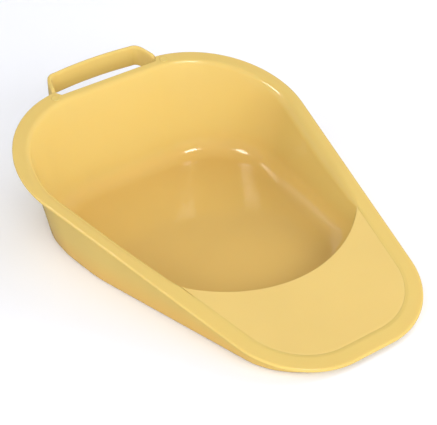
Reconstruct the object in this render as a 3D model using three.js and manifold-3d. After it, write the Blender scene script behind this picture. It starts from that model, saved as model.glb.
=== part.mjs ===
// Fracture bedpan with a rear carrying handle. Millimetres, +Z up.
// The low front lip faces -Y and the handle faces +Y; the pan is the same on both sides of X = 0.
// The whole rim lies in one plane that climbs from the front lip to the back.
import * as THREE from 'three';
import { mergeVertices } from 'three/addons/utils/BufferGeometryUtils.js';
import Module from 'manifold-3d';

const wasm = await Module();
wasm.setup();

// Rim plane
const RIM_HEIGHT = 44.8;            // rim height where the plane crosses the build origin
const RIM_SLOPE = 0.2354;           // rise per millimetre toward the back
const TILT = Math.atan(RIM_SLOPE);

// Rim outline: a trapezoid with rounded corners, seen from above
const BACK_Y = 154.5;
const FRONT_Y = -162.75;
const BACK_HALF = 140.5;            // half width at the sharp back corner, before rounding
const FRONT_HALF = 66.8;            // half width at the sharp front corner, before rounding
const BACK_RADIUS = 80.9;
const FRONT_RADIUS = 63.3;

// Flange, walls and floor
const FLANGE_THICK = 2.6;
const FLANGE_EDGE = 0.9;            // rounding of the flange's outer edge
const WALL_THICK = 2.4;
const FLOOR_THICK = 2.4;
const INNER_INSET = 12.6;           // rim edge to the inner wall line
const INNER_DRAFT = Math.tan(THREE.MathUtils.degToRad(12.5));
const INNER_ROUND_BACK = 4.0;       // rounding where the flange turns down into the basin
const INNER_ROUND_SIDE = 10.0;
const INNER_ROUND_FRONT = 6.0;
const ROUND_GROWS_Y = [115, 55];    // the back's rounding grows to the side's between these
const ROUND_SHRINKS_Y = [0, -45];   // and shrinks to the front's between these
const BASIN_FILLET = 17.0;          // wall to floor
const FRONT_FILLET_SHARE = 0.62;    // fillet limit as a share of the wall height
const SKIRT_BACK_INSET = 10.0;      // rim edge to the outer wall, at the back
const SKIRT_SIDE_INSET = 5.4;       // rim edge to the outer wall, from the middle forward
const SKIRT_BACK_DRAFT = 0.185;
const SKIRT_SIDE_DRAFT = 0.167;
const SKIRT_BACK_EDGE = 7.0;        // rounding of the bottom edge at the back
const SKIRT_SIDE_EDGE = 2.8;
const BLEND_FROM_Y = 14;            // the skirt changes from its side form to its back form here
const BLEND_TO_Y = 78;

// Seat deck
const ARC_CENTRE_Y = 24.9;          // the deck's concave edge is an arc round this point
const ARC_RADIUS = 111.5;
const ARC_WALL_SETBACK = 1.0;       // the deck overhangs the basin's front wall by this much
const DECK_INSET = 12.8;            // rim edge to the line where the deck is let in
const DECK_DROP = 1.0;              // the deck lies this far below the rim
const DECK_THICK = 2.2;
const LEDGE_WIDTH = 5.0;
const LEDGE_THICK = 1.8;
const GAP = 0.3;
const SEARCH_STEP = 0.05;           // step along a line when looking for where it meets an arc
const CORNER_RADIUS = 14;           // where the inner wall line turns into the deck's arc
const DECK_EDGE_ROUND = 0.4;        // rounding at the head of the basin's front wall
const ABOVE_RIM = 6.0;              // how far cutting bodies reach above the rim
const BELOW_BASE = 1;               // how far cutting bodies reach below the table

// Where the cuts behind the deck end: inside the basin's wall, which closes them again
const RECESS_RADIUS = ARC_RADIUS - 9;
const DECK_HOLE_RADIUS = ARC_RADIUS - 8;

// Handle
const HANDLE_THICK = 3.0;
const HANDLE_HEIGHT = 18.0;
const HANDLE_ROUND = 0.9;
const GRIP_Y = 174.5;               // centre line of the grip at its middle
const GRIP_END_Y = 172.6;
const GRIP_END_X = 35.0;
const LEG_TOP = [43.6, 165.5];
const LEG_FOOT = [50.4, 143.0];
const FOOT_RADIUS = 5.4;
const FOOT_HEIGHT = 7.0;
const FOOT_SHIFT_Y = 1.0;           // the foot's middle lies this far behind the pin
const SLOT_HALF = 45.6;             // the flange is cut back between the handle's legs
const SLOT_Y = 149.3;
const SLOT_CUT_DEPTH = 40;          // size of the box that cuts the flange back
const SLOT_CUT_HEIGHT = 60;

// Pins that hold the handle's feet
const PIN_X = 50.3;
const PIN_Y = 147.0;
const PIN_HEAD_RADIUS = 3.2;
const PIN_HEAD_HEIGHT = 0.7;
const PIN_SHANK_RADIUS = 1.7;
const PIN_LENGTH = 8.2;
const PIN_HOLE_ABOVE = 2;           // how far the hole's cutting bar reaches above and below the flange
const PIN_HOLE_BELOW = 12;

const HANDLE_BACK_Y = GRIP_Y + HANDLE_THICK / 2;
const ORIGIN_Y = (HANDLE_BACK_Y + FRONT_Y) / 2;

const rimZ = (y) => RIM_HEIGHT + RIM_SLOPE * y;
const mix = (a, b, t) => a + (b - a) * t;
const smooth = (t) => t * t * (3 - 2 * t);
const between = (y, from, to) => smooth(THREE.MathUtils.clamp((y - from) / (to - from), 0, 1));
const backness = (y) => between(y, BLEND_FROM_Y, BLEND_TO_Y);

function innerRound(y) {
  const radius = mix(INNER_ROUND_BACK, INNER_ROUND_SIDE, between(y, ...ROUND_GROWS_Y));
  return mix(radius, INNER_ROUND_FRONT, between(y, ...ROUND_SHRINKS_Y));
}

// ---- plan curves ---------------------------------------------------------------------------

// Corner of a polyline replaced by an arc; returns the arc's points.
function arcPoints(before, corner, after, radius, steps) {
  const a = new THREE.Vector2().subVectors(before, corner).normalize();
  const b = new THREE.Vector2().subVectors(after, corner).normalize();
  const half = Math.acos(THREE.MathUtils.clamp(a.dot(b), -1, 1)) / 2;
  const reach = radius / Math.tan(half);
  const middle = a.clone().add(b).normalize();
  const centre = corner.clone().addScaledVector(middle, radius / Math.sin(half));
  const from = corner.clone().addScaledVector(a, reach).sub(centre);
  const to = corner.clone().addScaledVector(b, reach).sub(centre);
  const start = Math.atan2(from.y, from.x);
  let sweep = Math.atan2(to.y, to.x) - start;
  sweep = Math.atan2(Math.sin(sweep), Math.cos(sweep));
  const points = [];
  for (let i = 0; i <= steps; i += 1) {
    const angle = start + (sweep * i) / steps;
    points.push(new THREE.Vector2(centre.x + radius * Math.cos(angle), centre.y + radius * Math.sin(angle)));
  }
  return points;
}

function straight(from, to, steps) {
  const points = [];
  for (let i = 1; i < steps; i += 1) {
    points.push(from.clone().lerp(to, i / steps));
  }
  return points;
}

// Mirrors a right-hand half path (from the back middle to the front middle) into a closed loop.
function mirrored(half) {
  const left = half.slice(1, -1).reverse();
  return half.concat(left.map((p) => new THREE.Vector2(-p.x, p.y)));
}

// Unit normals of a closed loop, pointing inward.
function inwardNormals(loop) {
  const count = loop.length;
  const turn = THREE.ShapeUtils.area(loop) > 0 ? 1 : -1;
  return loop.map((p, i) => {
    const before = new THREE.Vector2().subVectors(p, loop[(i + count - 1) % count]).normalize();
    const after = new THREE.Vector2().subVectors(loop[(i + 1) % count], p).normalize();
    const along = before.add(after).normalize();
    return new THREE.Vector2(-along.y * turn, along.x * turn);
  });
}

function rimLoop() {
  const backCorner = new THREE.Vector2(BACK_HALF, BACK_Y);
  const frontCorner = new THREE.Vector2(FRONT_HALF, FRONT_Y);
  const backMiddle = new THREE.Vector2(0, BACK_Y);
  const frontMiddle = new THREE.Vector2(0, FRONT_Y);
  const backArc = arcPoints(backMiddle, backCorner, frontCorner, BACK_RADIUS, 14);
  const frontArc = arcPoints(backCorner, frontCorner, frontMiddle, FRONT_RADIUS, 10);
  return mirrored([
    backMiddle,
    ...straight(backMiddle, backArc[0], 4),
    ...backArc,
    ...straight(backArc[backArc.length - 1], frontArc[0], 12),
    ...frontArc,
    ...straight(frontArc[frontArc.length - 1], frontMiddle, 2),
    frontMiddle,
  ]);
}

const RIM = rimLoop();
const RIM_NORMALS = inwardNormals(RIM);

const insetLoop = (loop, normals, inset) => loop.map((p, i) => p.clone().addScaledVector(normals[i], inset));

const arcY = (x, radius) => ARC_CENTRE_Y - Math.sqrt(radius * radius - x * x);

// The basin's own outline: the rim's inner wall line closed at the front by the deck's arc.
function basinLoop() {
  const line = insetLoop(RIM, RIM_NORMALS, INNER_INSET);
  const radius = ARC_RADIUS + ARC_WALL_SETBACK;
  const arcCentre = new THREE.Vector2(0, ARC_CENTRE_Y);
  const half = [];
  for (const p of line.slice(0, RIM.length / 2 + 1)) {
    if (p.y < ARC_CENTRE_Y && p.distanceTo(arcCentre) > radius - CORNER_RADIUS / 3) {
      break;
    }
    half.push(p);
  }
  const last = half[half.length - 1];
  const before = half[half.length - 2];
  const along = last.clone().sub(before).normalize();
  const corner = last.clone();
  while (corner.distanceTo(arcCentre) < radius) {
    corner.addScaledVector(along, SEARCH_STEP);
  }
  const sweep = Math.asin(corner.x / radius) * 0.9;
  const onArc = (angle) => {
    const x = radius * Math.sin(angle);
    return new THREE.Vector2(x, arcY(x, radius));
  };
  half.push(...arcPoints(last, corner, onArc(sweep), CORNER_RADIUS, 4).slice(1, -1));
  const steps = 12;
  for (let i = 0; i < steps; i += 1) {
    half.push(onArc(sweep * (1 - i / steps)));
  }
  half.push(new THREE.Vector2(0, arcY(0, radius)));
  return mirrored(half);
}

const BASIN = basinLoop();
const BASIN_NORMALS = inwardNormals(BASIN);

// ---- solids --------------------------------------------------------------------------------

// Cap of a loop that is its own mirror image: strips between each point and its twin.
function mirrorCap(count) {
  const triangles = [];
  const half = count / 2;
  for (let i = 0; i < half; i += 1) {
    const twin = (count - i) % count;
    const nextTwin = count - i - 1;
    if (i > 0) {
      triangles.push([i, i + 1, twin]);
    }
    if (i + 1 < half) {
      triangles.push([i + 1, nextTwin, twin]);
    }
  }
  return triangles;
}

function earCap(loop) {
  const flat = loop.map((p) => new THREE.Vector2(p.x, p.y));
  const turn = THREE.ShapeUtils.area(flat) > 0 ? 1 : -1;
  return THREE.ShapeUtils.triangulateShape(flat, []).map(([a, b, c]) => {
    const area = THREE.ShapeUtils.area([flat[a], flat[b], flat[c]]);
    return area * turn > 0 ? [a, b, c] : [a, c, b];
  });
}

// Loop without the points that lie on a straight line between their neighbours.
function withoutMiddles(loop) {
  const count = loop.length;
  return loop.filter((p, i) => {
    const before = loop[(i + count - 1) % count];
    const after = loop[(i + 1) % count];
    const turn = p.clone().sub(before).normalize().cross(after.clone().sub(p).normalize());
    return Math.abs(turn) > 1e-4;
  });
}

// Closed body through rings of equally many points, capped at both ends.
function loft(rings, symmetric = true) {
  const count = rings[0].length;
  const position = [];
  const index = [];
  for (const ring of rings) {
    for (const p of ring) {
      position.push(p.x, p.y, p.z);
    }
  }
  for (let r = 0; r + 1 < rings.length; r += 1) {
    for (let i = 0; i < count; i += 1) {
      const a = r * count + i;
      const b = r * count + ((i + 1) % count);
      index.push(a, b, b + count, a, b + count, a + count);
    }
  }
  const top = (rings.length - 1) * count;
  const cap = symmetric ? mirrorCap(count) : earCap(rings[0]);
  for (const [a, b, c] of cap) {
    index.push(a, c, b, top + a, top + b, top + c);
  }
  let volume = 0;
  for (let t = 0; t < index.length; t += 3) {
    const [a, b, c] = [0, 1, 2].map((k) => new THREE.Vector3().fromArray(position, index[t + k] * 3));
    volume += a.dot(b.cross(c));
  }
  if (volume < 0) {
    for (let t = 0; t < index.length; t += 3) {
      [index[t + 1], index[t + 2]] = [index[t + 2], index[t + 1]];
    }
  }
  const geometry = new THREE.BufferGeometry();
  geometry.setAttribute('position', new THREE.Float32BufferAttribute(position, 3));
  geometry.setIndex(index);
  return geometry;
}

function toSolid(geometry) {
  const clean = geometry.clone();
  clean.deleteAttribute('normal');
  clean.deleteAttribute('uv');
  const merged = mergeVertices(clean, 1e-4);
  return new wasm.Manifold(new wasm.Mesh({
    numProp: 3,
    vertProperties: new Float32Array(merged.attributes.position.array),
    triVerts: new Uint32Array(merged.index.array),
  }));
}

function toGeometry(solid) {
  const mesh = solid.getMesh();
  const geometry = new THREE.BufferGeometry();
  geometry.setAttribute('position', new THREE.BufferAttribute(new Float32Array(mesh.vertProperties), 3));
  geometry.setIndex(new THREE.BufferAttribute(new Uint32Array(mesh.triVerts), 1));
  geometry.translate(0, -ORIGIN_Y, 0);
  return geometry;
}

// Ring of a loop, with an inset and a height for each of its points.
function ring(loop, normals, place) {
  return loop.map((p, i) => {
    const [inset, z] = place(p, i);
    return new THREE.Vector3(p.x + normals[i].x * inset, p.y + normals[i].y * inset, z);
  });
}

// Slab that follows the rim plane between two depths below it.
function slab(loop, normals, insetTop, depthTop, depthBottom, edge = 0) {
  const at = (inset, depth) => ring(loop, normals, (p, i) => {
    const y = p.y + normals[i].y * inset;
    return [inset, rimZ(y) - depth];
  });
  if (edge === 0) {
    return toSolid(loft([at(insetTop, depthBottom), at(insetTop, depthTop)]));
  }
  return toSolid(loft([
    at(insetTop + edge, depthBottom),
    at(insetTop + edge * 0.3, depthBottom + edge * -0.3),
    at(insetTop, depthBottom - edge),
    at(insetTop, depthTop + edge),
    at(insetTop + edge * 0.3, depthTop + edge * 0.3),
    at(insetTop + edge, depthTop),
  ]));
}

// Outer wall: from under the flange down to the table, with a rounded bottom edge.
function skirtSolid(shrink, topDepth, floorZ) {
  const place = (p, normal, step) => {
    const back = backness(p.y);
    const draft = mix(SKIRT_SIDE_DRAFT, SKIRT_BACK_DRAFT, back);
    const edge = Math.max(mix(SKIRT_SIDE_EDGE, SKIRT_BACK_EDGE, back) - shrink, 0.6);
    const start = mix(SKIRT_SIDE_INSET, SKIRT_BACK_INSET, back) + shrink;
    const height = rimZ(p.y) - floorZ;
    const limit = Math.min(edge, (height - topDepth) * 0.6);
    if (step === 'top') {
      const inset = start + topDepth * draft;
      return [inset, rimZ(p.y + normal.y * inset) - topDepth];
    }
    const tilt = Math.atan(draft);
    const centre = start + (height - limit) * draft + limit / Math.cos(tilt);
    const angle = mix(tilt, Math.PI / 2, step);
    return [centre - limit * Math.cos(angle), floorZ + limit - limit * Math.sin(angle)];
  };
  const steps = [1, 0.75, 0.5, 0.25, 0, 'top'];
  const at = (step) => ring(RIM, RIM_NORMALS, (p, i) => place(p, RIM_NORMALS[i], step));
  return toSolid(loft(steps.map(at)));
}

// Basin form; grow = 0 is the hollow itself, grow = wall thickness is the outside of its shell.
function basinSolid(grow, floorZ) {
  const tilt = Math.atan(INNER_DRAFT);
  const wall = -grow / Math.cos(tilt);
  const floorPlace = (p, step) => {
    const height = rimZ(p.y) - floorZ;
    const fillet = Math.min(BASIN_FILLET, (rimZ(p.y) - FLOOR_THICK) * FRONT_FILLET_SHARE) + grow;
    const centre = wall + (height - fillet) * INNER_DRAFT + fillet / Math.cos(tilt);
    const angle = mix(tilt, Math.PI / 2, step);
    return [centre - fillet * Math.cos(angle), floorZ + fillet - fillet * Math.sin(angle)];
  };
  const roundPlace = (p, i, step, lift) => {
    const onArc = p.y < ARC_CENTRE_Y && Math.hypot(p.x, p.y - ARC_CENTRE_Y) > ARC_RADIUS;
    const round = onArc ? DECK_EDGE_ROUND : innerRound(p.y);
    const angle = mix(tilt, Math.PI / 2, step);
    const inset = round * INNER_DRAFT - round / Math.cos(tilt) + round * Math.cos(angle);
    const depth = round - round * Math.sin(angle) - lift;
    return [inset, rimZ(p.y + BASIN_NORMALS[i].y * inset) - depth];
  };
  const floorRing = (step) => ring(BASIN, BASIN_NORMALS, (p) => floorPlace(p, step));
  const rings = [1, 0.8, 0.6, 0.4, 0.2, 0].map(floorRing);
  if (grow > 0) {
    const depth = FLANGE_THICK / 2;
    const inset = wall + depth * INNER_DRAFT;
    const place = (p, i) => [inset, rimZ(p.y + BASIN_NORMALS[i].y * inset) - depth];
    rings.push(ring(BASIN, BASIN_NORMALS, place));
  } else {
    for (const step of [0, 0.25, 0.5, 0.75, 1]) {
      rings.push(ring(BASIN, BASIN_NORMALS, (p, i) => roundPlace(p, i, step, 0)));
    }
    rings.push(ring(BASIN, BASIN_NORMALS, (p, i) => roundPlace(p, i, 1, ABOVE_RIM)));
  }
  return toSolid(loft(rings));
}

// Region in front of the deck's arc, bounded by an inset of the rim outline.
function frontLoop(inset, radius) {
  const line = insetLoop(RIM, RIM_NORMALS, inset);
  const centre = new THREE.Vector2(0, ARC_CENTRE_Y);
  const side = line.slice(0, RIM.length / 2 + 1).filter((p) => p.y < 0 && p.distanceTo(centre) > radius);
  const next = line[line.indexOf(side[0]) - 1];
  const corner = side[0].clone();
  const along = next.clone().sub(corner).normalize();
  while (corner.distanceTo(centre) > radius) {
    corner.addScaledVector(along, SEARCH_STEP);
  }
  const half = [];
  const steps = 16;
  const sweep = Math.asin(corner.x / radius);
  for (let i = 0; i < steps; i += 1) {
    const x = radius * Math.sin((sweep * i) / steps);
    half.push(new THREE.Vector2(x, arcY(x, radius)));
  }
  half.push(corner, ...side);
  return mirrored(half);
}

function frontSlab(inset, radius, depthTop, depthBottom) {
  const loop = withoutMiddles(frontLoop(inset, radius));
  const at = (depth) => loop.map((p) => new THREE.Vector3(p.x, p.y, rimZ(p.y) - depth));
  return toSolid(loft([at(depthBottom), at(depthTop)], false));
}

// Round bar standing square to the rim plane, from depthTop down to depthBottom.
function rimCylinder(x, y, radius, depthTop, depthBottom) {
  const length = depthBottom - depthTop;
  const geometry = new THREE.CylinderGeometry(radius, radius, length, 28);
  geometry.translate(0, -(depthTop + length / 2), 0);
  geometry.rotateX(Math.PI / 2);
  geometry.rotateX(TILT);
  geometry.translate(x, y, rimZ(y));
  return toSolid(geometry);
}

function boxSolid(width, depth, height, x, y, z) {
  const geometry = new THREE.BoxGeometry(width, depth, height);
  geometry.translate(x, y, z);
  return toSolid(geometry);
}

// ---- pieces --------------------------------------------------------------------------------

const SIDES = [-1, 1];
const DECK_BOTTOM = DECK_DROP + DECK_THICK;
const LEDGE_TOP = DECK_BOTTOM + GAP;
const LEDGE_BOTTOM = LEDGE_TOP + LEDGE_THICK;

function buildBody() {
  const flange = slab(RIM, RIM_NORMALS, 0, 0, FLANGE_THICK, FLANGE_EDGE);
  const outer = flange.add(skirtSolid(0, FLANGE_THICK / 2, 0));
  const skirtHollow = skirtSolid(WALL_THICK, LEDGE_BOTTOM, -BELOW_BASE);
  const deckHole = frontSlab(DECK_INSET + LEDGE_WIDTH, DECK_HOLE_RADIUS, -ABOVE_RIM, LEDGE_BOTTOM + 1);
  const recess = frontSlab(DECK_INSET, RECESS_RADIUS, -ABOVE_RIM, LEDGE_TOP);
  const slotMiddle = SLOT_Y + SLOT_CUT_DEPTH / 2;
  const slot = boxSolid(2 * SLOT_HALF, SLOT_CUT_DEPTH, SLOT_CUT_HEIGHT, 0, slotMiddle, rimZ(SLOT_Y));
  let body = outer.subtract(skirtHollow).subtract(deckHole);
  body = body.add(basinSolid(WALL_THICK, 0));
  body = body.subtract(recess).subtract(basinSolid(0, FLOOR_THICK)).subtract(slot);
  for (const side of SIDES) {
    const radius = PIN_SHANK_RADIUS + GAP;
    body = body.subtract(rimCylinder(side * PIN_X, PIN_Y, radius, -PIN_HOLE_ABOVE, PIN_HOLE_BELOW));
  }
  return body;
}

function buildDeck() {
  return frontSlab(DECK_INSET + GAP, ARC_RADIUS, DECK_DROP, DECK_BOTTOM);
}

// Centre line of the handle band in plan, from the left foot round to the right foot.
function handleLine() {
  const foot = new THREE.Vector2(...LEG_FOOT);
  const legTop = new THREE.Vector2(...LEG_TOP);
  const gripEnd = new THREE.Vector2(GRIP_END_X, GRIP_END_Y);
  const right = [];
  const gripSteps = 7;
  for (let i = 0; i < gripSteps; i += 1) {
    const t = i / gripSteps;
    right.push(new THREE.Vector2(GRIP_END_X * t, GRIP_Y - (GRIP_Y - GRIP_END_Y) * t * t));
  }
  const direction = legTop.clone().sub(foot).normalize();
  const reach = (GRIP_END_Y + 0.6 - legTop.y) / direction.y;
  const corner = legTop.clone().addScaledVector(direction, reach);
  const bend = new THREE.QuadraticBezierCurve(gripEnd, corner, legTop);
  right.push(...bend.getPoints(8));
  right.push(...straight(legTop, foot, 4), foot);
  const left = right.slice(1).reverse().map((p) => new THREE.Vector2(-p.x, p.y));
  return left.concat(right);
}

function bandLoop(line, half) {
  const outer = [];
  const inner = [];
  line.forEach((p, i) => {
    const before = line[Math.max(i - 1, 0)];
    const after = line[Math.min(i + 1, line.length - 1)];
    const along = new THREE.Vector2().subVectors(after, before).normalize();
    const across = new THREE.Vector2(-along.y, along.x);
    outer.push(p.clone().addScaledVector(across, half));
    inner.push(p.clone().addScaledVector(across, -half));
  });
  return outer.concat(inner.reverse());
}

function buildHandle(body) {
  const line = handleLine();
  const at = (depth, shrink) => bandLoop(line, HANDLE_THICK / 2 - shrink)
    .map((p) => new THREE.Vector3(p.x, p.y, rimZ(p.y) - depth));
  let handle = toSolid(loft([
    at(HANDLE_HEIGHT, HANDLE_ROUND),
    at(HANDLE_HEIGHT - HANDLE_ROUND * 0.3, HANDLE_ROUND * 0.3),
    at(HANDLE_HEIGHT - HANDLE_ROUND, 0),
    at(HANDLE_ROUND, 0),
    at(HANDLE_ROUND * 0.3, HANDLE_ROUND * 0.3),
    at(0, HANDLE_ROUND),
  ], false));
  for (const side of SIDES) {
    const footTop = FLANGE_THICK + GAP;
    const footY = PIN_Y + FOOT_SHIFT_Y;
    handle = handle.add(rimCylinder(side * PIN_X, footY, FOOT_RADIUS, footTop, footTop + FOOT_HEIGHT));
  }
  const flangeSpace = slab(RIM, RIM_NORMALS, -GAP, -ABOVE_RIM, FLANGE_THICK + GAP);
  const wallSpace = skirtSolid(-GAP, FLANGE_THICK / 2, -BELOW_BASE);
  handle = handle.subtract(flangeSpace).subtract(wallSpace);
  for (const side of SIDES) {
    const radius = PIN_SHANK_RADIUS + GAP;
    handle = handle.subtract(rimCylinder(side * PIN_X, PIN_Y, radius, -PIN_HOLE_ABOVE, PIN_LENGTH + GAP));
  }
  return handle.subtract(body);
}

function buildPin(side) {
  const profile = [
    [0, PIN_HEAD_HEIGHT],
    [PIN_HEAD_RADIUS * 0.6, PIN_HEAD_HEIGHT * 0.92],
    [PIN_HEAD_RADIUS * 0.9, PIN_HEAD_HEIGHT * 0.62],
    [PIN_HEAD_RADIUS, GAP],
    [PIN_SHANK_RADIUS, GAP],
    [PIN_SHANK_RADIUS, 0.5 - PIN_LENGTH],
    [PIN_SHANK_RADIUS * 0.7, -PIN_LENGTH],
    [0, -PIN_LENGTH],
  ].map(([r, z]) => new THREE.Vector2(r, z)).reverse();
  const geometry = new THREE.LatheGeometry(profile, 28);
  geometry.rotateX(Math.PI / 2);
  geometry.rotateX(TILT);
  geometry.translate(side * PIN_X, PIN_Y, rimZ(PIN_Y));
  return toSolid(geometry);
}

// ---- assembly ------------------------------------------------------------------------------

const PLASTIC = { metalness: 0, roughness: 0.28 };
const group = new THREE.Group();
group.name = 'bedpan';

function addPiece(name, solid, color) {
  const mesh = new THREE.Mesh(toGeometry(solid), new THREE.MeshStandardMaterial({ color, ...PLASTIC }));
  mesh.name = name;
  group.add(mesh);
}

const body = buildBody();
addPiece('pan_body', body, 0xedca78);
addPiece('seat_deck', buildDeck(), 0xefd080);
addPiece('carry_handle', buildHandle(body), 0xeecd7c);
addPiece('handle_pin_left', buildPin(-1), 0xebc876);
addPiece('handle_pin_right', buildPin(1), 0xebc876);

export default group;
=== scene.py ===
# Looks of the fracture bedpan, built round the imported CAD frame. Metres, +Z up, handle at +Y.
import math
import bpy
import bmesh
from mathutils import Matrix, Vector


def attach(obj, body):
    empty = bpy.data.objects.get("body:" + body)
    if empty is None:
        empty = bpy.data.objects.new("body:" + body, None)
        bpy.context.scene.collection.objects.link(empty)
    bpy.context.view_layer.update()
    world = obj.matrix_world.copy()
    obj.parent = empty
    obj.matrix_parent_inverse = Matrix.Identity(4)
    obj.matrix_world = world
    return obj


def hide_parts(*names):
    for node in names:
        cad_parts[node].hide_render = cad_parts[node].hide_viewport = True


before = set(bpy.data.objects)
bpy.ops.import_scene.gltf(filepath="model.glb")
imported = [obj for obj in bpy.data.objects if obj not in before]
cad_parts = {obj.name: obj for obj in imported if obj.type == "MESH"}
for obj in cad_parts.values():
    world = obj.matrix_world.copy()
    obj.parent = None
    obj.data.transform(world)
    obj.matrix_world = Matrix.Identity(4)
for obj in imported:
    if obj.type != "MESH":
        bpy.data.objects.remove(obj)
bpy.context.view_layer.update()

MM = 0.001
ORIGIN_Y = 6.625                 # the build origin lies this far behind the frame origin, in mm

# ---- sizes in millimetres, in the build frame; most are the CAD model's ---------------------
RIM_HEIGHT = 44.8                # of the rim plane over the build origin
RIM_SLOPE = 0.2354
BACK_Y = 154.5
FRONT_Y = -162.75
BACK_HALF = 140.5
FRONT_HALF = 66.8
BACK_RADIUS = 80.9
FRONT_RADIUS = 63.3
FLANGE_THICK = 2.6
TOP_EDGE = 1.15                  # rounding of the flange's edge, above and below
LOWER_EDGE = 0.8
WALL_THICK = 2.4
FLOOR_THICK = 2.4
INNER_INSET = 12.6
INNER_DRAFT = math.tan(math.radians(12.5))
INNER_ROUND_BACK = 4.0
INNER_ROUND_SIDE = 10.0
INNER_ROUND_FRONT = 6.0
ROUND_BLEND = 16.0               # run over which the rounding changes beside the deck's tips
BASIN_FILLET = 17.0
FRONT_FILLET_SHARE = 0.62
FLOOR_EASE = 2.5                 # flat strip between the floor's fillet and its middle face
CORNER_REACH = 34.0              # how far along the loop the basin's front corners are eased
CORNER_STRETCH = 1.0 / math.cos(math.radians(15))
CORNER_COLUMNS = 14              # columns on each side of a corner that are smoothed, and how often
CORNER_PASSES = 60
ARC_COLUMNS = 76
SKIRT_BACK_INSET = 10.0
SKIRT_SIDE_INSET = 5.4
SKIRT_BACK_DRAFT = 0.185
SKIRT_SIDE_DRAFT = 0.167
SKIRT_BACK_EDGE = 7.0
SKIRT_SIDE_EDGE = 2.8
SKIRT_FILLET = 1.6
EDGE_HEIGHT_SHARE = 0.6          # the bottom edge takes up at most this share of the skirt
FOOT_HEIGHT = 1.5
POCKET_HEIGHT = 8.0              # least height of the space between skirt and basin
BLEND_FROM_Y = 14.0
BLEND_TO_Y = 78.0
ARC_CENTRE_Y = 24.9
ARC_RADIUS = 111.5
ARC_SETBACK = 1.0
DECK_INSET = 12.8
DECK_DROP = 0.4
DECK_THICK = 2.2
DECK_GAP = 0.03
DECK_EASING = 0.7                # rounding of the deck's free edge
DECK_OUTER_EDGE = 0.12
DECK_TIP_ROOM = 4.0              # where the deck is narrower than this its roundings shrink
TIP_ROUND = 2.0
RAMP_WIDTH = 3.0
RAMP_BLEND = 14.0
LEDGE_WIDTH = 5.0
LEDGE_TOP = 3.5
LEDGE_BOTTOM = 5.3
SLOT_HALF = 45.6
SLOT_END = 4.0
SLOT_Y = 149.3
SLOT_ONLY_BEHIND_Y = 100.0
FINE_FROM_X = 38.0               # the stations are closer together between these
FINE_TO_X = 50.0
HANDLE_THICK = 3.0
HANDLE_HEIGHT = 16.5
HANDLE_DEPTHS = (4.0, 6.5, 9.0, 11.5, 14.0)
HANDLE_LOWER_EDGE = 0.9
GRIP_Y = 174.5
GRIP_END = (35.0, 172.6)
GRIP_CORNER_Y = 0.6              # the corner's control point lies this far behind the grip's end
LEG_TOP = (43.6, 165.5)
LEG_FOOT = (50.4, 143.0)
TUCK_FROM_Y = 157.0              # in front of this line the legs dip under the flange
TUCK_RUN = 3.0
TUCK_GAP = 0.3
PIN = (50.3, 147.0)
PIN_COLUMNS = 40
# radius and height along the pin's axis, from the middle of its face to its lower end
PIN_PROFILE = (
    (0.0, 0.34), (1.3, 0.36), (2.0, 0.44), (2.5, 0.6), (2.85, 0.62), (3.1, 0.5), (3.2, 0.25),
    (3.2, -0.4), (1.7, -0.5), (1.7, -7.8), (1.2, -8.2), (0.0, -8.2),
)
WELD = 0.001                     # points closer than this become one

# ---- sizes in metres -----------------------------------------------------------------------
FLOOR_HALF = 6.0
FLOOR_DROP = 0.0002
LIGHT_DISTANCE = 2.2
CAMERA_DISTANCE = 1.083


def mix(a, b, t):
    return a + (b - a) * t


def smooth(t):
    t = min(max(t, 0.0), 1.0)
    return t * t * (3 - 2 * t)


def rim_z(y):
    return RIM_HEIGHT + RIM_SLOPE * y


def backness(y):
    return smooth((y - BLEND_FROM_Y) / (BLEND_TO_Y - BLEND_FROM_Y))


def inner_round(y):
    """Rounding where the rim turns down into the basin: tight at the back, full along the sides."""
    radius = mix(INNER_ROUND_BACK, INNER_ROUND_SIDE, smooth((115.0 - y) / 60.0))
    return mix(radius, INNER_ROUND_FRONT, smooth(-y / 45.0))


# ---- plan curves ---------------------------------------------------------------------------
def corner_arc(before, corner, after, radius, steps):
    """Points of the arc that rounds a corner."""
    a = (before - corner).normalized()
    b = (after - corner).normalized()
    half = math.acos(max(-1.0, min(1.0, a.dot(b)))) / 2
    centre = corner + (a + b).normalized() * (radius / math.sin(half))
    reach = radius / math.tan(half)
    start = corner + a * reach - centre
    end = corner + b * reach - centre
    first = math.atan2(start.y, start.x)
    sweep = math.atan2(end.y, end.x) - first
    sweep = math.atan2(math.sin(sweep), math.cos(sweep))
    points = []
    for i in range(steps + 1):
        angle = first + sweep * i / steps
        points.append(centre + Vector((math.cos(angle), math.sin(angle))) * radius)
    return points


def stations(points, step):
    """The path cut into equal lengths close to step."""
    lengths = [0.0]
    for p, q in zip(points, points[1:]):
        lengths.append(lengths[-1] + (q - p).length)
    count = max(1, round(lengths[-1] / step))
    out = []
    k = 0
    for i in range(count + 1):
        want = lengths[-1] * i / count
        while k < len(points) - 2 and lengths[k + 1] < want:
            k += 1
        span = lengths[k + 1] - lengths[k]
        out.append(points[k].lerp(points[k + 1], (want - lengths[k]) / span if span else 0.0))
    return out


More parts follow.
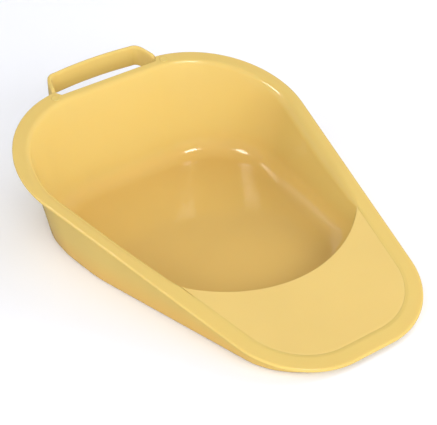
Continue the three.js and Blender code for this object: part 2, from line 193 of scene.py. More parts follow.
def rim_half():
    """Right half of the rim outline: back middle to the deck's tip, and on to the front middle."""
    back_corner = Vector((BACK_HALF, BACK_Y))
    front_corner = Vector((FRONT_HALF, FRONT_Y))
    back_mid = Vector((0, BACK_Y))
    front_mid = Vector((0, FRONT_Y))
    back_arc = corner_arc(back_mid, back_corner, front_corner, BACK_RADIUS, 4000)
    front_arc = corner_arc(back_corner, front_corner, front_mid, FRONT_RADIUS, 3000)
    along = (front_arc[0] - back_arc[-1]).normalized()
    inward = Vector((along.y, -along.x))
    if inward.x > 0:
        inward = -inward
    # where the inner wall line meets the deck's arc
    split = back_arc[-1].copy()
    centre = Vector((0, ARC_CENTRE_Y))
    reach = ARC_RADIUS + ARC_SETBACK
    while (split + inward * INNER_INSET - centre).length < reach or split.y > ARC_CENTRE_Y:
        split = split + along * 0.02
    # stations lie closer together where the flange's slot ends
    fine_start = Vector((FINE_FROM_X, BACK_Y))
    rear = stations([back_mid, fine_start], 2.4)[:-1]
    level = BACK_Y - 2
    near_slot = [p for p in back_arc if FINE_FROM_X + 0.6 < p.x < FINE_TO_X and p.y > level]
    rear += stations([fine_start] + near_slot, 0.5)[:-1]
    fine_end = near_slot[-1]
    round_back = [p for p in back_arc if p.x > fine_end.x + 0.01 or p.y < level]
    rear += stations([fine_end] + round_back, 2.6)[:-1]
    rear += stations([back_arc[-1], split], 2.8)
    ahead = stations([split, front_arc[0]], 2.8)[:-1]
    ahead += stations(front_arc, 2.2)[:-1]
    ahead += stations([front_arc[-1], front_mid], 2.4)
    return rear, ahead


def tangent(before, here, after):
    """Direction of the curve at a point, right for neighbours at unequal distances too."""
    a, b = here - before, after - here
    return (a.normalized() * b.length + b.normalized() * a.length).normalized()


def closed_normals(loop):
    """Inward unit normals of a loop that runs clockwise seen from above."""
    count = len(loop)
    out = []
    for i, p in enumerate(loop):
        way = tangent(loop[i - 1], p, loop[(i + 1) % count])
        out.append(Vector((way.y, -way.x)))
    return out


REAR, AHEAD = rim_half()
HALF = REAR + AHEAD[1:]
RIM = HALF + [Vector((-p.x, p.y)) for p in reversed(HALF[1:-1])]
RIM_N = closed_normals(RIM)
COUNT = len(RIM)
SPLIT = len(REAR) - 1                       # column where the deck begins, right-hand side
SPLIT_LEFT = COUNT - SPLIT
REAR_COLUMNS = list(range(SPLIT_LEFT, COUNT)) + list(range(0, SPLIT + 1))
FRONT_COLUMNS = list(range(SPLIT, SPLIT_LEFT + 1))


def rim_point(i, inset, depth):
    """Point under the rim plane at an inset from the rim's edge."""
    x = RIM[i].x + RIM_N[i].x * inset
    y = RIM[i].y + RIM_N[i].y * inset
    return (x, y, rim_z(y) - depth)


def arc_y(x, radius):
    return ARC_CENTRE_Y - math.sqrt(radius * radius - x * x)


def basin_loop():
    """Inner wall line of the rear columns, left to right round the back, then the arc."""
    loop = []
    for i in REAR_COLUMNS:
        loop.append(Vector((RIM[i].x + RIM_N[i].x * INNER_INSET, RIM[i].y + RIM_N[i].y * INNER_INSET)))
    radius = (loop[-1] - Vector((0, ARC_CENTRE_Y))).length
    sweep = math.asin(loop[-1].x / radius)
    for k in range(1, ARC_COLUMNS):
        angle = sweep * (1 - 2 * k / ARC_COLUMNS)
        x = radius * math.sin(angle)
        loop.append(Vector((x, arc_y(x, radius))))
    return loop


BASIN = basin_loop()
BASIN_N = closed_normals(BASIN)
REAR_COUNT = len(REAR_COLUMNS)


def eased_directions():
    """Column directions that swing gently round the basin's two front corners."""
    count = len(BASIN)
    corners = (0, REAR_COUNT - 1)
    positions = [0.0]
    for i in range(1, count):
        positions.append(positions[-1] + (BASIN[i] - BASIN[i - 1]).length)
    total = positions[-1] + (BASIN[0] - BASIN[-1]).length
    own = []
    for i in range(count):
        before, here, after = BASIN[i - 1], BASIN[i], BASIN[(i + 1) % count]
        if i in corners:
            own.append(BASIN_N[i])
        else:
            way = tangent(before, here, after)
            own.append(Vector((way.y, -way.x)))
    out = []
    for i in range(count):
        direction = own[i].copy()
        for c in corners:
            gap = abs(positions[i] - positions[c])
            gap = min(gap, total - gap)
            if gap < CORNER_REACH:
                share = 1 - smooth(gap / CORNER_REACH)
                direction = (own[i] * (1 - share) + BASIN_N[c] * share).normalized()
        stretch = 1.0 / max(0.8, direction.dot(own[i]))
        if i in corners:
            stretch = CORNER_STRETCH
        out.append(direction * stretch)
    return out


BASIN_D = eased_directions()


def ring_smoothed(points, passes):
    """Rounds a closed ring near the two front corners of the basin."""
    count = len(points)
    corners = (0, REAR_COUNT - 1)
    result = [p.copy() for p in points]
    for _ in range(passes):
        source = [p.copy() for p in result]
        for c in corners:
            for k in range(-CORNER_COLUMNS, CORNER_COLUMNS + 1):
                i = (c + k) % count
                weight = 0.5 * (1 - abs(k) / (CORNER_COLUMNS + 1))
                middle = (source[i - 1] + source[(i + 1) % count]) / 2
                result[i] = source[i].lerp(middle, weight)
    return result


TILT = math.atan(INNER_DRAFT)


def basin_profile(base, grow, floor_z, step):
    """Inset and height on the floor fillet; step 0 is at the wall and 1 at the floor.

    grow is the wall's thickness for the outside of the shell and 0 for its inside.
    """
    wall = -grow / math.cos(TILT)
    fillet = min(BASIN_FILLET, (rim_z(base.y) - FLOOR_THICK) * FRONT_FILLET_SHARE) + grow
    height = rim_z(base.y) - floor_z
    centre = wall + (height - fillet) * INNER_DRAFT + fillet / math.cos(TILT)
    angle = mix(TILT, math.pi / 2, step)
    return centre - fillet * math.cos(angle), floor_z + fillet - fillet * math.sin(angle)


def basin_point(i, inset, z):
    """Point at an inset from the basin loop's column."""
    spot = BASIN[i] + BASIN_D[i] * inset
    return Vector((spot.x, spot.y, z))


def basin_ring(place, passes):
    """A row of points round the basin; place gives the inset and height for a loop point."""
    points = [basin_point(i, *place(base)) for i, base in enumerate(BASIN)]
    return ring_smoothed(points, passes)


# ---- meshes --------------------------------------------------------------------------------
class Builder:
    """Collects points in millimetres and faces, and turns them into one object."""

    def __init__(self):
        self.points = []
        self.faces = []

    def add(self, p):
        self.points.append((p[0], p[1], p[2]))
        return len(self.points) - 1

    def row(self, points):
        return [self.add(p) for p in points]

    def bridge(self, a, b, closed):
        """Faces between two rows of the same length."""
        count = len(a)
        last = count if closed else count - 1
        for i in range(last):
            j = (i + 1) % count
            self.faces.append((a[i], a[j], b[j], b[i]))

    def skin(self, rows, closed):
        """Faces over a whole run of rows."""
        for upper, lower in zip(rows, rows[1:]):
            self.bridge(upper, lower, closed)

    def finish(self, name):
        mesh = bpy.data.meshes.new(name)
        coords = [(x * MM, (y - ORIGIN_Y) * MM, z * MM) for x, y, z in self.points]
        mesh.from_pydata(coords, [], self.faces)
        bm = bmesh.new()
        bm.from_mesh(mesh)
        bmesh.ops.remove_doubles(bm, verts=bm.verts, dist=WELD * MM)
        bmesh.ops.dissolve_degenerate(bm, edges=bm.edges, dist=1e-7)
        bmesh.ops.recalc_face_normals(bm, faces=bm.faces)
        bm.to_mesh(mesh)
        bm.free()
        for polygon in mesh.polygons:
            polygon.use_smooth = True
        obj = bpy.data.objects.new(name, mesh)
        bpy.context.scene.collection.objects.link(obj)
        return obj


# ---- body: insets run inwards from the rim's edge, depths down from the rim plane -------------
def slot_cut(i):
    """How far the flange's edge is cut back at a column, between the handle's legs."""
    if RIM[i].y < SLOT_ONLY_BEHIND_Y:
        return 0.0
    x = abs(RIM[i].x)
    return (RIM[i].y - SLOT_Y) * smooth((SLOT_HALF + SLOT_END / 2 - x) / SLOT_END)


def tip_gap(i):
    """Distance from a column to the nearer tip of the deck."""
    return min((RIM[i] - RIM[SPLIT]).length, (RIM[i] - RIM[SPLIT_LEFT]).length)


def round_at(i):
    """Radius of the rim's inner rounding at a rear column."""
    return mix(TIP_ROUND, inner_round(RIM[i].y), smooth(tip_gap(i) / ROUND_BLEND))


def rounding(radius, step):
    """Inset and depth on the rim's inner rounding; step 0 is at the wall and 1 on the flange."""
    angle = mix(TILT, math.pi / 2, step)
    inset = INNER_INSET + radius * (INNER_DRAFT - 1 / math.cos(TILT) + math.cos(angle))
    return inset, radius * (1 - math.sin(angle))


def ramp(i, step):
    """Inset and depth on the soft slope from the front band down to the deck."""
    share = smooth(tip_gap(i) / RAMP_BLEND)
    inset, depth = rounding(TIP_ROUND, step)
    return (mix(inset, DECK_INSET - RAMP_WIDTH * step, share),
            mix(depth, DECK_DROP * smooth(1 - step), share))


def inner_top(i):
    """Inset at which the flat flange ends on its inner side."""
    if SPLIT < i < SPLIT_LEFT:
        return ramp(i, 1.0)[0]
    return rounding(round_at(i), 1.0)[0]


def skirt_start(y):
    return mix(SKIRT_SIDE_INSET, SKIRT_BACK_INSET, backness(y))


def skirt_draft(y):
    return mix(SKIRT_SIDE_DRAFT, SKIRT_BACK_DRAFT, backness(y))


def skirt_outside(i, depth):
    """Inset of the skirt's outer face."""
    y = RIM[i].y
    return skirt_start(y) + depth * skirt_draft(y)


def skirt_bottom(i, step):
    """Inset and height on the rounded bottom edge; step 0 is on the skirt and 1 on the base."""
    y = RIM[i].y
    height = rim_z(y)
    draft = skirt_draft(y)
    radius = mix(SKIRT_SIDE_EDGE, SKIRT_BACK_EDGE, backness(y))
    radius = min(radius, (height - FLANGE_THICK) * EDGE_HEIGHT_SHARE)
    lean = math.atan(draft)
    centre = skirt_start(y) + (height - radius) * draft + radius / math.cos(lean)
    angle = mix(lean, math.pi / 2, step)
    return centre - radius * math.cos(angle), radius - radius * math.sin(angle)


def pocket_depth(i):
    """Depth of the ceiling of the space between skirt and basin."""
    y = RIM[i].y
    inner = skirt_start(y) + WALL_THICK
    shell = INNER_INSET - WALL_THICK / math.cos(TILT)
    gain = INNER_DRAFT - skirt_draft(y)
    crossing = (inner - shell) / gain if inner > shell else 0.0
    lowest = rim_z(y) - POCKET_HEIGHT if y > 0 else LEDGE_BOTTOM
    return min(max(LEDGE_BOTTOM, crossing + 0.5), lowest)


def ledge_inset(i):
    """Inner edge of the ledge, cut back near the deck's tips so that it stays hidden."""
    centre = Vector((0, ARC_CENTRE_Y))
    inset = DECK_INSET + LEDGE_WIDTH
    while inset > DECK_INSET + 0.1:
        spot = Vector(rim_point(i, inset, 0)[:2])
        if (spot - centre).length > ARC_RADIUS + ARC_SETBACK + 0.3:
            break
        inset -= 0.1
    return inset


def ring_below_rim(place):
    """A row of points round the rim; place gives a column's inset and depth."""
    return [rim_point(i, *place(i)) for i in range(COUNT)]


def ring_above_base(place):
    """A row of points round the rim; place gives a column's inset and height."""
    out = []
    for i in range(COUNT):
        inset, z = place(i)
        out.append((RIM[i].x + RIM_N[i].x * inset, RIM[i].y + RIM_N[i].y * inset, z))
    return out


def skirt_rows():
    """Flange from its inner side to its edge, then the skirt down outside and up inside."""
    rows = []
    for share in (0.0, 0.12, 0.5, 0.88):
        rows.append(ring_below_rim(
            lambda i: (mix(inner_top(i), slot_cut(i) + TOP_EDGE, share), 0)))
    for k in range(7):
        angle = math.pi / 2 * k / 6
        inward, depth = TOP_EDGE * (1 - math.sin(angle)), TOP_EDGE * (1 - math.cos(angle))
        rows.append(ring_below_rim(lambda i: (slot_cut(i) + inward, depth)))
    for k in range(5):
        angle = math.pi / 2 * k / 4
        inward, rise = LOWER_EDGE * (1 - math.cos(angle)), LOWER_EDGE * (1 - math.sin(angle))
        rows.append(ring_below_rim(lambda i: (slot_cut(i) + inward, FLANGE_THICK - rise)))

    under, part = FLANGE_THICK, SKIRT_FILLET * 0.3
    rows.append(ring_below_rim(lambda i: (skirt_outside(i, under) - SKIRT_FILLET, under)))
    rows.append(ring_below_rim(lambda i: (skirt_outside(i, under) - part, under + part)))
    lower = under + SKIRT_FILLET
    rows.append(ring_below_rim(lambda i: (skirt_outside(i, lower), lower)))
    top = rows[-1]
    bottom = ring_above_base(lambda i: skirt_bottom(i, 0.0))
    for share in (0.15, 0.35, 0.6, 0.85):
        rows.append([tuple(mix(p, q, share) for p, q in zip(*pair)) for pair in zip(top, bottom)])
    rows.append(bottom)
    for k in range(1, 7):
        rows.append(ring_above_base(lambda i: skirt_bottom(i, k / 6)))

    def wall_foot(i):
        inside = skirt_outside(i, rim_z(RIM[i].y) - FOOT_HEIGHT) + WALL_THICK
        return max(inside, skirt_bottom(i, 1.0)[0] + 0.5), FOOT_HEIGHT

    def wall_head(i):
        depth = pocket_depth(i)
        return skirt_outside(i, depth) + WALL_THICK, rim_z(RIM[i].y) - depth

    rows.append(ring_above_base(lambda i: (skirt_bottom(i, 1.0)[0] + 0.4, 0.0)))
    rows.append(ring_above_base(wall_foot))
    rows.append(ring_above_base(wall_head))
    return rows


def basin_inside_rows():
    """Basin from its floor up to just below the flange or the deck."""
    def flat(base):
        return basin_profile(base, 0, FLOOR_THICK, 1.0)[0] + FLOOR_EASE, FLOOR_THICK

    rows = [basin_ring(flat, CORNER_PASSES)]
    for k in range(13):
        step = 1 - k / 12
        rows.append(basin_ring(
            lambda base: basin_profile(base, 0, FLOOR_THICK, step), int(CORNER_PASSES * step)))
    foot = rows[-1]
    head = []
    for i, base in enumerate(BASIN):
        depth = LEDGE_TOP
        if i < REAR_COUNT:
            depth = max(depth, round_at(REAR_COLUMNS[i]) * (1 - math.sin(TILT)) + 0.1)
        head.append(basin_point(i, depth * INNER_DRAFT, rim_z(base.y) - depth))
    for share in (0.25, 0.5, 0.75):
        rows.append([p.lerp(q, share) for p, q in zip(foot, head)])
    rows.append(head)
    return rows


def basin_outside_rows():
    """Outside of the basin's shell, from its underside up to the ceiling of the pocket."""
    def flat(base):
        return basin_profile(base, WALL_THICK, 0, 1.0)[0] + FLOOR_EASE, 0.0

    rows = [basin_ring(flat, CORNER_PASSES)]
    for k in range(9):
        step = 1 - k / 8
        rows.append(basin_ring(
            lambda base: basin_profile(base, WALL_THICK, 0, step), int(CORNER_PASSES * step)))
    head = []
    for i, base in enumerate(BASIN):
        depth = pocket_depth(REAR_COLUMNS[i]) if i < REAR_COUNT else LEDGE_TOP + 0.2
        inset = -WALL_THICK / math.cos(TILT) + depth * INNER_DRAFT
        head.append(basin_point(i, inset, rim_z(base.y) - depth))
    rows.append(head)
    return rows


def build_body():
    """The one-piece shell: flange, skirt, basin and the ledge that carries the deck."""
    b = Builder()
    skirt = [b.row(r) for r in skirt_rows()]
    b.skin(skirt, True)
    inner_edge, pocket_edge = skirt[0], skirt[-1]
    inside = [b.row(r) for r in basin_inside_rows()]
    b.skin(inside, True)
    b.faces.append(tuple(inside[0]))
    outside = [b.row(r) for r in basin_outside_rows()]
    b.skin(outside, True)
    b.faces.append(tuple(outside[0]))

    # rear columns: from the wall's head up the inner rounding to the flange
    rise = [inside[-1][:REAR_COUNT]]
    for k in range(8):
        rise.append(b.row([rim_point(i, *rounding(round_at(i), k / 8)) for i in REAR_COLUMNS]))
    rise.append([inner_edge[i] for i in REAR_COLUMNS])
    b.skin(rise, False)
    # ceiling of the space behind the skirt
    b.bridge([pocket_edge[i] for i in REAR_COLUMNS], outside[-1][:REAR_COUNT], False)

    # front columns: the slope and the ledge round the deck
    front = FRONT_COLUMNS
    slope = [[inner_edge[i] for i in front]]
    for k in range(1, 9):
        slope.append(b.row([rim_point(i, *ramp(i, 1 - k / 8)) for i in front]))
    ledge = [b.row([rim_point(i, DECK_INSET, LEDGE_TOP) for i in front])]
    ledge.append(b.row([rim_point(i, ledge_inset(i), LEDGE_TOP) for i in front]))
    ledge.append(b.row([rim_point(i, ledge_inset(i), LEDGE_BOTTOM) for i in front]))
    ledge.append([pocket_edge[i] for i in front])
    b.skin(slope + ledge, False)

    # head of the basin's front wall, under the deck's edge
    arc_inner = inside[-1][REAR_COUNT - 1:] + inside[-1][:1]
    arc_outer = outside[-1][REAR_COUNT - 1:] + outside[-1][:1]
    b.bridge(arc_inner, arc_outer, False)

    # the two ends where rear and front columns meet, hidden below the deck's tips
    for end, rear_end in ((0, -1), (-1, 0)):
        face = [row[rear_end] for row in rise[:2]]
        face += [row[end] for row in ledge]
        face.append(arc_outer[end])
        b.faces.append(tuple(face))
    return b.finish("pan_shell")


def deck_point(spot, depth):
    """Point at a depth below the deck's top face."""
    return (spot.x, spot.y, rim_z(spot.y) - DECK_DROP - depth)


def deck_edges():
    """Outer edge of the deck from tip to tip, and arc points paired with it by share of the way."""
    centre = Vector((0, ARC_CENTRE_Y))
    line = [Vector(rim_point(i, DECK_INSET + DECK_GAP, 0)[:2]) for i in FRONT_COLUMNS]
    inside = [p for p in line if (p - centre).length > ARC_RADIUS + 0.2]
    way = (inside[1] - inside[0]).normalized()
    tip = inside[0].copy()
    while (tip - centre).length > ARC_RADIUS:
        tip -= way * 0.01
    outer = [tip] + inside + [Vector((-tip.x, tip.y))]
    gone = [0.0]
    for p, q in zip(outer, outer[1:]):
        gone.append(gone[-1] + (q - p).length)
    sweep = math.asin(tip.x / ARC_RADIUS)
    arc = []
    for length in gone:
        x = ARC_RADIUS * math.sin(sweep * (1 - 2 * length / gone[-1]))
        arc.append(Vector((x, arc_y(x, ARC_RADIUS))))
    return outer, arc


def build_deck():
    """Seat deck: a plate with an eased concave edge, let in behind the rim's front band."""
    b = Builder()
    centre = Vector((0, ARC_CENTRE_Y))
    outer, arc = deck_edges()
    count = len(outer)
    sections = []
    for k in range(count):
        before, after = outer[max(k - 1, 0)], outer[min(k + 1, count - 1)]
        along = (after - before).normalized()
        rim_in = Vector((along.y, -along.x))
        arc_in = (arc[k] - centre).normalized()
        fit = min(1.0, (outer[k] - arc[k]).length / DECK_TIP_ROOM)
        easing, under = DECK_EASING * fit, DECK_OUTER_EDGE * fit
        near = arc[k] + arc_in * easing
        far = outer[k] + rim_in * under
        section = []
        for j in range(6, -1, -1):
            angle = math.pi / 2 * j / 6
            spot = arc[k] + arc_in * easing * (1 - math.sin(angle))
            section.append(deck_point(spot, easing * (1 - math.cos(angle))))
        for share in (0.04, 0.3, 0.7, 0.96):
            section.append(deck_point(near.lerp(far, share), 0.0))
        for j in range(4):
            angle = math.pi / 2 * j / 3
            spot = outer[k] + rim_in * under * (1 - math.sin(angle))
            section.append(deck_point(spot, under * (1 - math.cos(angle))))
        section.append(deck_point(outer[k], DECK_THICK))
        section.append(deck_point(far.lerp(near, 0.04), DECK_THICK))
        section.append(deck_point(near, DECK_THICK))
        section.append(deck_point(arc[k], DECK_THICK - under))
        sections.append(b.row(section))
    b.skin(sections, True)
    return b.finish("deck_plate")


def handle_line():
    """Centre line of the handle in plan, left foot to right foot."""
    foot = Vector(LEG_FOOT)
    leg_top = Vector(LEG_TOP)
    grip_end = Vector(GRIP_END)
    way = (leg_top - foot).normalized()
    corner = leg_top + way * ((GRIP_END[1] + GRIP_CORNER_Y - leg_top.y) / way.y)
    right = []
    for k in range(24):
        t = k / 24
        right.append(Vector((GRIP_END[0] * t, GRIP_Y - (GRIP_Y - GRIP_END[1]) * t * t)))
    for k in range(17):
        t = k / 16
        right.append(grip_end * (1 - t) ** 2 + corner * (2 * t * (1 - t)) + leg_top * t * t)
    for k in range(1, 12):
        right.append(leg_top.lerp(foot, k / 11))
    left = [Vector((-p.x, p.y)) for p in reversed(right[1:])]
    return left + right


def handle_section():
    """Offsets across the strap and depths below the rim plane, once round the band."""
    half, low = HANDLE_THICK / 2, HANDLE_LOWER_EDGE
    low_centre = HANDLE_HEIGHT - low
    section = []
    for k in range(9):
        angle = math.pi * k / 8
        section.append((half * math.cos(angle), half - half * math.sin(angle)))
    for depth in HANDLE_DEPTHS:
        section.append((-half, depth))
    for k in range(5):
        angle = math.pi / 2 * k / 4
        section.append((-half + low * (1 - math.cos(angle)), low_centre + low * math.sin(angle)))
    for k in range(5):
        angle = math.pi / 2 * k / 4
        section.append((half - low * (1 - math.sin(angle)), low_centre + low * math.cos(angle)))
    for depth in reversed(HANDLE_DEPTHS):
        section.append((half, depth))
    return section


def build_handle():
    """Strap handle: an upright band with a rolled top edge, its feet tucked under the flange."""
    b = Builder()
    line = handle_line()
    section = handle_section()
    rows = []
    for i, p in enumerate(line):
        before = line[max(i - 1, 0)]
        after = line[min(i + 1, len(line) - 1)]
        way = (after - before).normalized()
        across = Vector((-way.y, way.x))
        row = []
        for side, depth in section:
            spot = p + across * side
            tuck = smooth((TUCK_FROM_Y - spot.y) / TUCK_RUN)
            dip = tuck * max(0.0, FLANGE_THICK + TUCK_GAP - depth)
            row.append((spot.x, spot.y, rim_z(spot.y) - depth - dip))
        rows.append(b.row(row))
    b.skin(rows, True)
    b.faces.append(tuple(rows[0]))
    b.faces.append(tuple(rows[-1]))
    return b.finish("grip_strap")


def build_pin(name, side):
    """Round pin head standing just proud of the rim, with a shallow dished face."""
    b = Builder()
    lean = math.atan(RIM_SLOPE)
    rows = []
    for radius, height in PIN_PROFILE:
        row = []
        for k in range(PIN_COLUMNS if radius > 0 else 1):
            angle = 2 * math.pi * k / PIN_COLUMNS
            x = radius * math.cos(angle)
            y = radius * math.sin(angle)
            row.append((side * PIN[0] + x,
                        PIN[1] + y * math.cos(lean) - height * math.sin(lean),
                        rim_z(PIN[1]) + y * math.sin(lean) + height * math.cos(lean)))
        rows.append(b.row(row))
    b.skin(rows[1:-1], True)
    for k in range(PIN_COLUMNS):
        j = (k + 1) % PIN_COLUMNS
        b.faces.append((rows[0][0], rows[1][k], rows[1][j]))
        b.faces.append((rows[-1][0], rows[-2][j], rows[-2][k]))
    return b.finish(name)


# ---- materials -----------------------------------------------------------------------------
def plastic(name, roughness, colour, painted_shade_colour):
    """Glossy moulded polypropylene: faint cloudy colour, a painted shade low in the basin, soft
    waviness, fine scuffs.

    The last colour is painted low in the basin as a redder painted shade, standing in for the hollow's
    shade and coloured bounce light.
    """
    material = bpy.data.materials.new(name)
    material.use_nodes = True
    tree = material.node_tree
    nodes, links = tree.nodes, tree.links
    shader = nodes["Principled BSDF"]
    shader.inputs["Roughness"].default_value = roughness
    shader.inputs["IOR"].default_value = 1.49
    shader.inputs["Subsurface Weight"].default_value = 0.12
    shader.inputs["Subsurface Radius"].default_value = (0.008, 0.004, 0.0015)
    shader.inputs["Subsurface Scale"].default_value = 1.0
    place = nodes.new("ShaderNodeTexCoord")

    # painted shade: a redder colour low in the basin, well below the rim plane and near the floor at
    # once, stands in for the hollow's shade and coloured bounce light
    below = nodes.new("ShaderNodeVectorMath")
    below.operation = "DOT_PRODUCT"
    below.inputs[1].default_value = (0.0, RIM_SLOPE, -1.0)
    links.new(place.outputs["Object"], below.inputs[0])
    depth = nodes.new("ShaderNodeMapRange")
    depth.interpolation_type = "SMOOTHSTEP"
    depth.inputs["From Min"].default_value = 0.005 - rim_z(ORIGIN_Y) * MM
    depth.inputs["From Max"].default_value = 0.020 - rim_z(ORIGIN_Y) * MM
    links.new(below.outputs["Value"], depth.inputs["Value"])
    height = nodes.new("ShaderNodeSeparateXYZ")
    links.new(place.outputs["Object"], height.inputs[0])
    low = nodes.new("ShaderNodeMapRange")
    low.interpolation_type = "SMOOTHSTEP"
    low.inputs["From Min"].default_value = 0.026
    low.inputs["From Max"].default_value = 0.004
    links.new(height.outputs["Z"], low.inputs["Value"])
    painted_shade_mask = nodes.new("ShaderNodeMath")
    painted_shade_mask.operation = "MULTIPLY"
    links.new(depth.outputs["Result"], painted_shade_mask.inputs[0])
    links.new(low.outputs["Result"], painted_shade_mask.inputs[1])
    # mixes the painted shade into the colour low in the basin
    shade = nodes.new("ShaderNodeMix")
    shade.data_type = "RGBA"
    shade.inputs["A"].default_value = colour
    shade.inputs["B"].default_value = painted_shade_colour
    links.new(painted_shade_mask.outputs["Value"], shade.inputs["Factor"])

    # faint clouds in the colour
    cloud = nodes.new("ShaderNodeTexNoise")
    cloud.inputs["Scale"].default_value = 9.0
    cloud.inputs["Detail"].default_value = 3.0
    links.new(place.outputs["Object"], cloud.inputs["Vector"])
    cloudy = nodes.new("ShaderNodeMapRange")
    cloudy.inputs["From Min"].default_value = 0.35
    cloudy.inputs["From Max"].default_value = 0.65
    cloudy.inputs["To Min"].default_value = 0.97
    cloudy.inputs["To Max"].default_value = 1.02
    links.new(cloud.outputs["Fac"], cloudy.inputs["Value"])
    tint = nodes.new("ShaderNodeVectorMath")
    tint.operation = "SCALE"
    links.new(shade.outputs["Result"], tint.inputs[0])
    links.new(cloudy.outputs["Result"], tint.inputs["Scale"])
    links.new(tint.outputs["Vector"], shader.inputs["Base Color"])

    # fine scuffs in the roughness
    stretch = nodes.new("ShaderNodeMapping")
    stretch.inputs["Scale"].default_value = (60.0, 900.0, 60.0)
    stretch.inputs["Rotation"].default_value = (0.3, 0.2, 0.5)
    links.new(place.outputs["Object"], stretch.inputs["Vector"])
    scratch = nodes.new("ShaderNodeTexNoise")
    scratch.inputs["Scale"].default_value = 1.0
    scratch.inputs["Detail"].default_value = 4.0
    links.new(stretch.outputs["Vector"], scratch.inputs["Vector"])
    rough = nodes.new("ShaderNodeMapRange")
    rough.inputs["From Min"].default_value = 0.35
    rough.inputs["From Max"].default_value = 0.8
    rough.inputs["To Min"].default_value = roughness - 0.02
    rough.inputs["To Max"].default_value = roughness + 0.07
    links.new(scratch.outputs["Fac"], rough.inputs["Value"])
    links.new(rough.outputs["Result"], shader.inputs["Roughness"])

    # soft waviness and a fine grain
    wave = nodes.new("ShaderNodeTexNoise")
    wave.inputs["Scale"].default_value = 26.0
    wave.inputs["Detail"].default_value = 1.0
    links.new(place.outputs["Object"], wave.inputs["Vector"])
    grain = nodes.new("ShaderNodeTexNoise")
    grain.inputs["Scale"].default_value = 1400.0
    grain.inputs["Detail"].default_value = 2.0
    links.new(place.outputs["Object"], grain.inputs["Vector"])
    soft = nodes.new("ShaderNodeBump")
    soft.inputs["Strength"].default_value = 0.08
    soft.inputs["Distance"].default_value = 0.002
    links.new(wave.outputs["Fac"], soft.inputs["Height"])
    fine = nodes.new("ShaderNodeBump")
    fine.inputs["Strength"].default_value = 0.05
    fine.inputs["Distance"].default_value = 0.0001
    links.new(grain.outputs["Fac"], fine.inputs["Height"])
    links.new(soft.outputs["Normal"], fine.inputs["Normal"])
    links.new(fine.outputs["Normal"], shader.inputs["Normal"])
    return material


BODY_COLOUR = (0.610, 0.442, 0.135, 1)
# painted shade: redder colour painted low in the basin in place of its shade and coloured bounce light
BODY_PAINTED_SHADE = (0.65, 0.423, 0.122, 1)
DECK_COLOUR = (0.632, 0.449, 0.150, 1)
HANDLE_COLOUR = (0.61, 0.443, 0.135, 1)

body_plastic = plastic("pan_plastic_look", 0.12, BODY_COLOUR, BODY_PAINTED_SHADE)
deck_plastic = plastic("deck_plastic_look", 0.13, DECK_COLOUR, DECK_COLOUR)
handle_plastic = plastic("handle_plastic_look", 0.12, HANDLE_COLOUR, HANDLE_COLOUR)

# ---- pieces --------------------------------------------------------------------------------
shell = build_body()
deck = build_deck()
strap = build_handle()
pins = [build_pin("pin_head_left", -1), build_pin("pin_head_right", 1)]

for piece, node, slot, look in (
    (shell, "pan_body", "pan_plastic", body_plastic),
    (deck, "seat_deck", "deck_plastic", deck_plastic),
    (strap, "carry_handle", "handle_plastic", handle_plastic),
    (pins[0], "handle_pin_left", "pin_plastic", body_plastic),
    (pins[1], "handle_pin_right", "pin_plastic", body_plastic),
):
    piece.data.materials.append(look)
    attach(piece, "root")
    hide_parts(node)

# ---- floor, light and camera ---------------------------------------------------------------
scene = bpy.context.scene
scene.view_settings.view_transform = "Standard"

floor_mesh = bpy.data.meshes.new("studio_floor")
corners = [(x * FLOOR_HALF, y * FLOOR_HALF, 0) for x, y in ((-1, -1), (1, -1), (1, 1), (-1, 1))]
floor_mesh.from_pydata(corners, [], [(0, 1, 2, 3)])
floor = bpy.data.objects.new("studio_floor", floor_mesh)
floor.location.z = -FLOOR_DROP
scene.collection.objects.link(floor)
paper = bpy.data.materials.new("studio_paper")
paper.use_nodes = True
paper_shader = paper.node_tree.nodes["Principled BSDF"]
paper_shader.inputs["Base Color"].default_value = (0.90, 0.91, 0.955, 1)
paper_shader.inputs["Roughness"].default_value = 0.9
paper_shader.inputs["Specular IOR Level"].default_value = 0.0
floor.data.materials.append(paper)
floor.visible_glossy = False

world = bpy.data.worlds.new("studio")
scene.world = world
world.use_nodes = True
sky = world.node_tree.nodes["Background"]
sky.inputs["Color"].default_value = (1, 1, 1, 1)
sky.inputs["Strength"].default_value = 0.16


def area_light(name, direction, width, depth, power, diffuse=True, glossy=False):
    """Rectangular light of a width and depth in metres, aimed at the middle of the pan."""
    light = bpy.data.lights.new(name, "AREA")
    light.shape = "RECTANGLE"
    light.size = width
    light.size_y = depth
    light.energy = power
    way = Vector(direction).normalized()
    obj = bpy.data.objects.new(name, light)
    obj.visible_diffuse = diffuse
    obj.visible_glossy = glossy
    scene.collection.objects.link(obj)
    aim = way.to_track_quat("Z", "Y").to_matrix().to_4x4()
    obj.matrix_world = Matrix.Translation(way * LIGHT_DISTANCE) @ aim


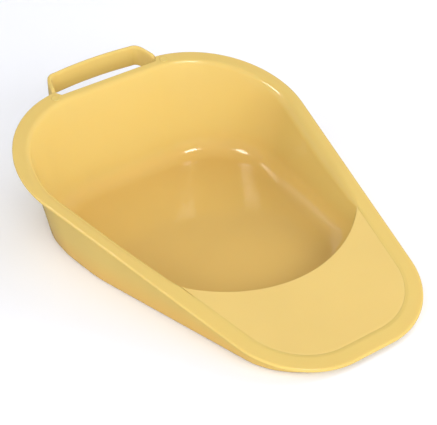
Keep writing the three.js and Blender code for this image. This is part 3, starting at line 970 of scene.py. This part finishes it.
def towards(azimuth, elevation):
    """Direction from the pan, with azimuth 0 at the front lip and 90 at the right-hand side."""
    a, e = math.radians(azimuth), math.radians(elevation)
    return (math.sin(a) * math.cos(e), -math.cos(a) * math.cos(e), math.sin(e))


# broad panels give the soft light, and two small softboxes give the crisp highlights
area_light("panel_front", towards(0, 18), 2.0, 2.0, 57.0)
area_light("panel_right", towards(90, 18), 2.0, 2.0, 34.0)
area_light("panel_right_high", towards(90, 42), 1.8, 1.8, 12.0)
area_light("panel_camera", towards(-45, 42), 1.8, 1.8, 18.0)
area_light("panel_left", towards(270, 18), 2.0, 2.0, 27.0)
area_light("panel_left_high", towards(270, 66), 1.4, 1.4, 4.5)
area_light("panel_back_left", towards(225, 18), 2.0, 2.0, 5.0, glossy=True)
area_light("panel_back", towards(180, 24), 1.8, 1.4, 5.0, glossy=True)
area_light("softbox_front", (0.15, -0.38, 0.91), 0.62, 0.3, 11.0, diffuse=False, glossy=True)
area_light("softbox_left", (-0.47, 0.215, 0.854), 0.62, 0.3, 11.0, diffuse=False, glossy=True)

# camera: seen from above the front left, with a slight roll
AZIMUTH, ELEVATION = -36.21, 33.72
ROLL = math.radians(-1.3)
back = Vector(towards(AZIMUTH, ELEVATION))
right = Vector((math.cos(math.radians(AZIMUTH)), math.sin(math.radians(AZIMUTH)), 0))
up = back.cross(right)
cam_x = right * math.cos(ROLL) + up * math.sin(ROLL)
cam_y = up * math.cos(ROLL) - right * math.sin(ROLL)
target = Vector((-5.5, 1.95 - ORIGIN_Y, 32.55)) * MM
position = target + back * CAMERA_DISTANCE
camera_data = bpy.data.cameras.new("camera")
camera_data.sensor_width = 36.0
camera_data.lens = 122.73
camera_data.clip_start = 0.05
camera_data.clip_end = 50.0
camera = bpy.data.objects.new("camera", camera_data)
scene.collection.objects.link(camera)
camera.matrix_world = Matrix((
    (cam_x.x, cam_y.x, back.x, position.x),
    (cam_x.y, cam_y.y, back.y, position.y),
    (cam_x.z, cam_y.z, back.z, position.z),
    (0, 0, 0, 1),
))
scene.camera = camera

bpy.context.view_layer.update()
